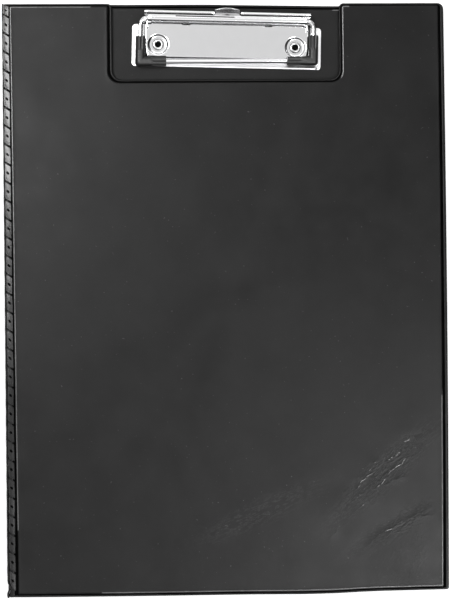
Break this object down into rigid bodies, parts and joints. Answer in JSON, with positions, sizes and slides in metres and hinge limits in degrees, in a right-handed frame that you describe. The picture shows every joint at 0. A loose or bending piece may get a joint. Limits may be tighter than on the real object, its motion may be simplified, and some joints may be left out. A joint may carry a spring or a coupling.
{
  "type": "fold-over clipboard",
  "caption": "Fold-over A4 clipboard: two film-covered boards on a folding spine, with a notched cover over a sprung wire clip and a sliding hanging hook.",
  "frame": {"origin": "centre of the closed folder's footprint, on its underside", "axes": "+X from the spine to the opening edge, +Y to the clip end, +Z out through the front cover"},
  "size_m": [0.233, 0.311, 0.0116],
  "materials": {
    "greyboard": "matte",
    "pvc_outside": "satin, fine grain",
    "pvc_inside": "satin, fine grain",
    "chrome": "polished",
    "zinc": "satin",
    "spring_steel": "satin",
    "rubber": "matte"
  },
  "bodies": {
    "back_panel": {"back_board": "greyboard", "back_outer_skin": "pvc_outside", "back_inner_skin": "pvc_inside", "clip_base_plate": "chrome", "rivets": "zinc", "rivet_washers": "zinc", "hinge_pin": "zinc", "torsion_spring_left": "spring_steel", "torsion_spring_right": "spring_steel"},
    "clip_lever": {"lever_plate": "chrome", "wire_bail": "chrome", "corner_grip_left": "rubber", "corner_grip_right": "rubber"},
    "hook": {"hanging_hook": "chrome"},
    "spine": {"spine_outer_film": "pvc_outside", "spine_inner_film": "pvc_inside"},
    "cover": {"cover_board": "greyboard", "cover_outer_skin": "pvc_outside", "cover_inner_skin": "pvc_inside", "cover_pocket": "pvc_inside"}
  },
  "joints": [
    {"name": "spine_fold_back", "type": "hinge", "parent": "back_panel", "child": "spine", "pos_m": [-0.116, 0, 0.00135], "axis": [0, -1, 0], "range_deg": [0, 180]},
    {"name": "spine_fold_cover", "type": "hinge", "parent": "spine", "child": "cover", "pos_m": [-0.116, 0, 0.00495], "axis": [0, -1, 0], "range_deg": [0, 180]},
    {"name": "lever_press", "type": "hinge", "parent": "back_panel", "child": "clip_lever", "pos_m": [0.00164, 0.1457, 0.0046], "axis": [-0.9997, 0.0262, 0], "range_deg": [0, 35], "stiffness_Nm_per_rad": 0.25, "springref_deg": -45.84, "deforming": ["torsion_spring_left", "torsion_spring_right"]},
    {"name": "hook_slide", "type": "slide", "parent": "back_panel", "child": "hook", "axis": [0.0262, 0.9997, 0], "range_m": [0, 0.012]}
  ]
}
